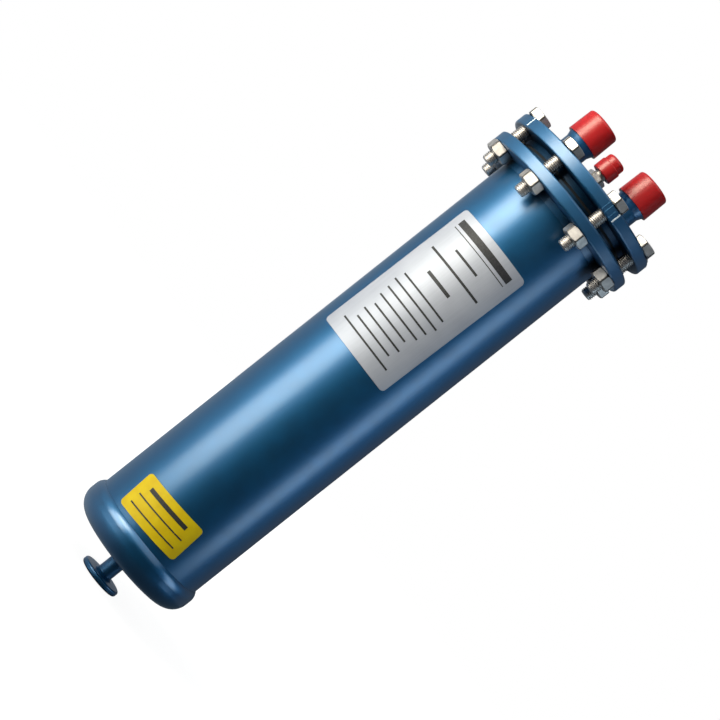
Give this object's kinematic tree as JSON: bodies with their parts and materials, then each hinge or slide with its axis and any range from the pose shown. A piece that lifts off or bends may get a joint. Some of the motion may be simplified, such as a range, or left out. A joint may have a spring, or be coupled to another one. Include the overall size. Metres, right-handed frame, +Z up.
{
  "type": "refrigeration oil separator",
  "caption": "Upright blue flanged cylinder with a rolled bottom cap and foot, capped solder stubs and an oil return fitting on its bolted cover, and a float valve in its sump.",
  "frame": {"origin": "centre of the foot's flat bottom face, on the vessel's axis", "axes": "+Z up the vessel's axis, -Y towards the front with the labels and the oil return fitting, +X towards the outlet stub"},
  "size_m": [0.139, 0.139, 0.4845],
  "materials": {
    "blue_paint": "satin metallic blue paint",
    "zinc": "bright zinc plate",
    "red_plastic": "satin moulded red plastic",
    "gasket": "dull compressed fibre",
    "foil": "satin printed foil",
    "yellow_vinyl": "satin printed vinyl",
    "copper": "drawn copper tube",
    "brass": "turned brass",
    "steel": "pressed stainless sheet",
    "ferrite": "sintered ferrite"
  },
  "bodies": {
    "vessel": {"foot_stud": "blue_paint", "bottom_cap": "blue_paint", "shell_tube": "blue_paint", "body_flange": "blue_paint", "flange_gasket": "gasket", "cover_flange": "blue_paint", "flange_bolts": "zinc", "flange_nuts": "zinc", "inlet_stub": "blue_paint", "outlet_stub": "blue_paint", "oil_fitting": "zinc", "data_plate": "foil", "yellow_label": "yellow_vinyl", "oil_return_tube": "copper", "valve_body": "brass", "float_bracket": "steel", "pivot_pin": "steel", "sump_baffle": "steel", "sump_magnet": "ferrite", "inlet_screen": "steel", "inlet_screen_end": "steel", "outlet_screen": "steel", "outlet_screen_end": "steel"},
    "float": {"float_lever": "brass", "float_ball": "steel"},
    "needle": {"valve_needle": "steel"},
    "inlet_cap": {"inlet_dust_cap": "red_plastic"},
    "outlet_cap": {"outlet_dust_cap": "red_plastic"},
    "oil_cap": {"oil_dust_cap": "red_plastic"}
  },
  "joints": [
    {"name": "float_lift", "type": "hinge", "parent": "vessel", "child": "float", "pos_m": [0, -0.01998, 0.0759], "axis": [1, 0, 0], "range_deg": [0, 20]},
    {"name": "needle_travel", "type": "slide", "parent": "vessel", "child": "needle", "axis": [0, 0, 1], "range_m": [-0.003, 0]},
    {"name": "inlet_cap_pull", "type": "slide", "parent": "vessel", "child": "inlet_cap", "axis": [0, 0, 1], "range_m": [0, 0.06]},
    {"name": "outlet_cap_pull", "type": "slide", "parent": "vessel", "child": "outlet_cap", "axis": [0, 0, 1], "range_m": [0, 0.06]},
    {"name": "oil_cap_pull", "type": "slide", "parent": "vessel", "child": "oil_cap", "axis": [0, 0, 1], "range_m": [0, 0.04]}
  ],
  "couplings": [
    {"joint": "needle_travel", "follows": "float_lift", "m_per_rad": -0.008}
  ]
}
